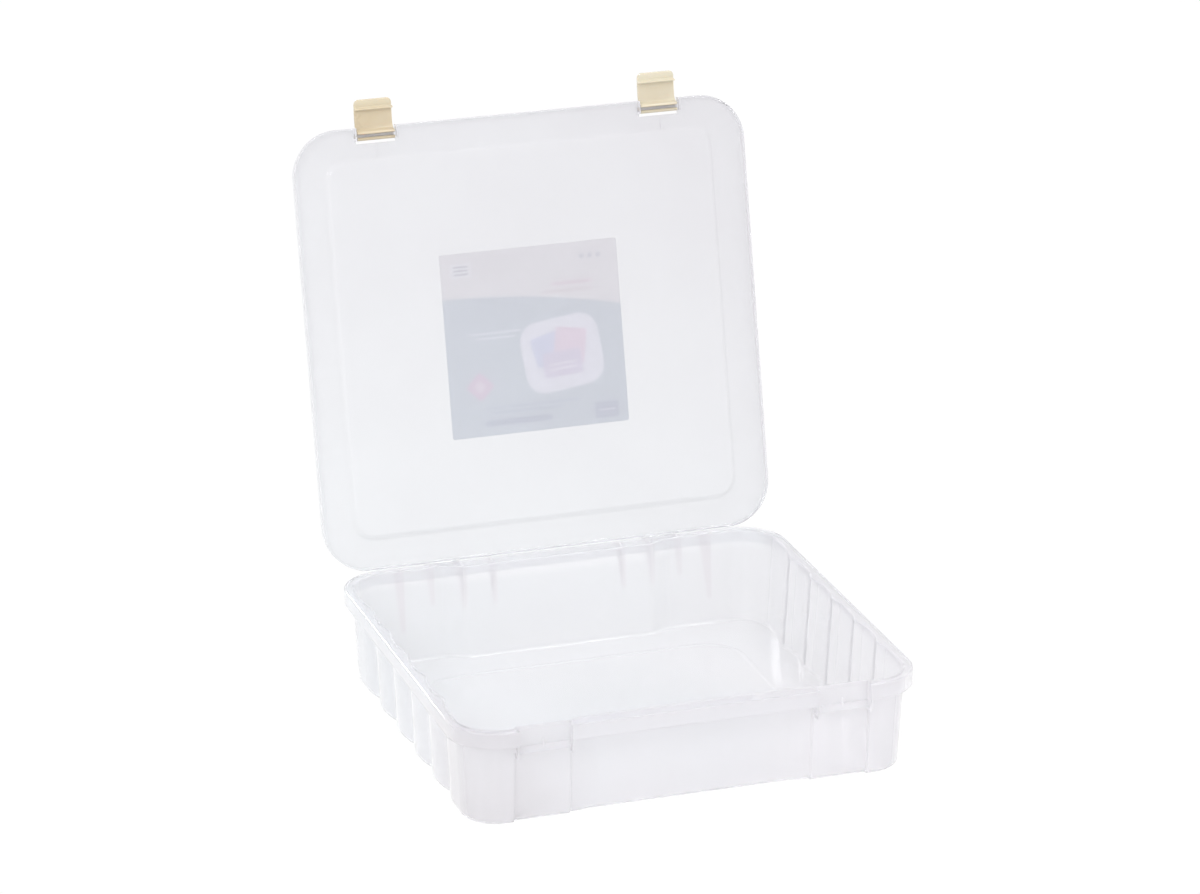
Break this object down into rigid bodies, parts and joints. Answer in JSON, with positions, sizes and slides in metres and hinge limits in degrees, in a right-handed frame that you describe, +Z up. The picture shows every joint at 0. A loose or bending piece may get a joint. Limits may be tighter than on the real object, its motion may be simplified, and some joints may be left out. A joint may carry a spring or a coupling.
{
  "type": "stackable storage box",
  "caption": "Shallow square hinged storage case with fluted walls, a stepped stacking lid on a back hinge and snap latches along the front edge of the lid.",
  "frame": {"origin": "centre of the tray's flat underside, on the surface that the box stands on", "axes": "+Z up, +X to the right, +Y to the hinge at the back, the latches at -Y"},
  "size_m": [0.3746, 0.4397, 0.4378],
  "materials": {
    "clear_tray": "clear moulded polypropylene, smooth gloss with a faint cool haze",
    "clear_lid": "clear moulded polypropylene, smooth gloss with a fine frosted haze",
    "ivory_latch": "opaque ivory plastic, soft satin gloss",
    "label_print": null
  },
  "bodies": {
    "tray": {"tray": "clear_tray"},
    "lid": {"lid": "clear_lid", "label": "label_print"},
    "latch_left": {"latch_left": "ivory_latch"},
    "latch_right": {"latch_right": "ivory_latch"}
  },
  "joints": [
    {"name": "lid_hinge", "type": "hinge", "parent": "tray", "child": "lid", "pos_m": [0, 0.1772, 0.0743], "axis": [1, 0, 0], "range_deg": [0, 103]},
    {"name": "latch_left_hinge", "type": "hinge", "parent": "lid", "child": "latch_left", "pos_m": [-0.1176, 0.25772, 0.41061], "axis": [1, 0, 0], "range_deg": [-80, 90]},
    {"name": "latch_right_hinge", "type": "hinge", "parent": "lid", "child": "latch_right", "pos_m": [0.1176, 0.25772, 0.41061], "axis": [1, 0, 0], "range_deg": [-80, 90]}
  ]
}
